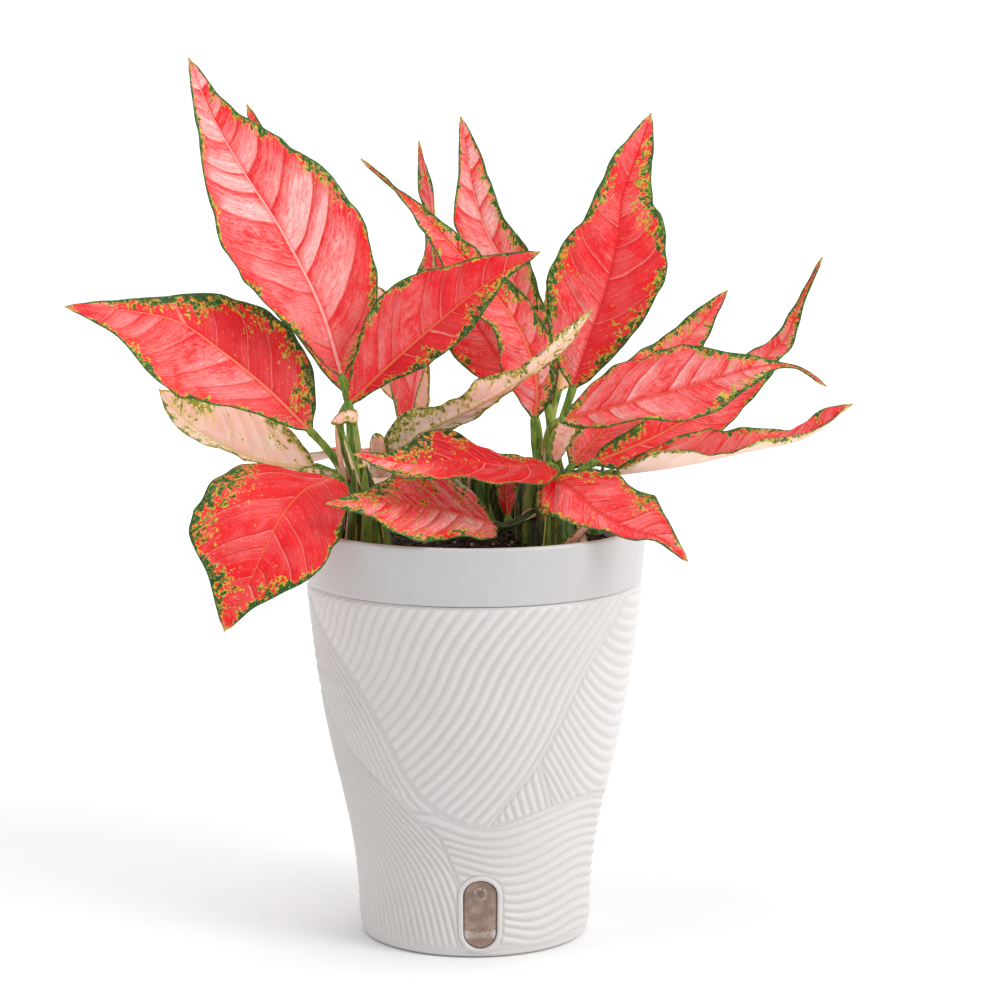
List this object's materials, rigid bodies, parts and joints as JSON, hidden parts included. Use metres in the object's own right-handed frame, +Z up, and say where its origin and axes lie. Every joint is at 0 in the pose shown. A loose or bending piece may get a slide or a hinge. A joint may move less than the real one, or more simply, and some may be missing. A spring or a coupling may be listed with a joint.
{
  "type": "potted plant",
  "caption": "Chinese evergreen with red, green-edged variegated leaves in a tapered white self-watering pot with wavy ribbed relief and a water window.",
  "frame": {"origin": "centre of the outer pot's flat underside, on the surface it stands on", "axes": "+Z up; -Y towards the front, where the water window is; +X to the right seen from the front"},
  "size_m": [0.3777, 0.2073, 0.4394],
  "materials": {
    "outer_pot": "satin",
    "collar": "satin",
    "clear_window": "gloss",
    "soil": "matte",
    "stalk": "satin",
    "leaf": "satin"
  },
  "bodies": {
    "root": {"outer_pot": "outer_pot", "water_window": "clear_window", "inner_pot": "collar", "soil": "soil", "stem_left": "stalk", "stem_right": "stalk", "stem_back": "stalk", "leaf_tall_left": "leaf", "leaf_tall_left_back": "leaf", "leaf_far_left": "leaf", "leaf_under_left": "leaf", "leaf_drooping_left": "leaf", "leaf_front_red": "leaf", "leaf_edge_on": "leaf", "leaf_long_tip": "leaf", "leaf_upright_mid": "leaf", "leaf_shaded_mid": "leaf", "leaf_upright_right": "leaf", "leaf_long_right": "leaf", "leaf_rising_right": "leaf", "leaf_spear_right": "leaf", "leaf_folded_right": "leaf", "leaf_drooping_right": "leaf", "leaf_twisted_mid": "leaf", "leaf_front_low": "leaf", "leaf_front_lowest": "leaf", "leaf_back_left": "leaf", "leaf_back_right": "leaf", "leaf_back_tall": "leaf", "leaf_back_upright": "leaf", "leaf_back_low": "leaf", "leaf_back_right_low": "leaf", "leaf_young": "leaf"}
  },
  "joints": []
}
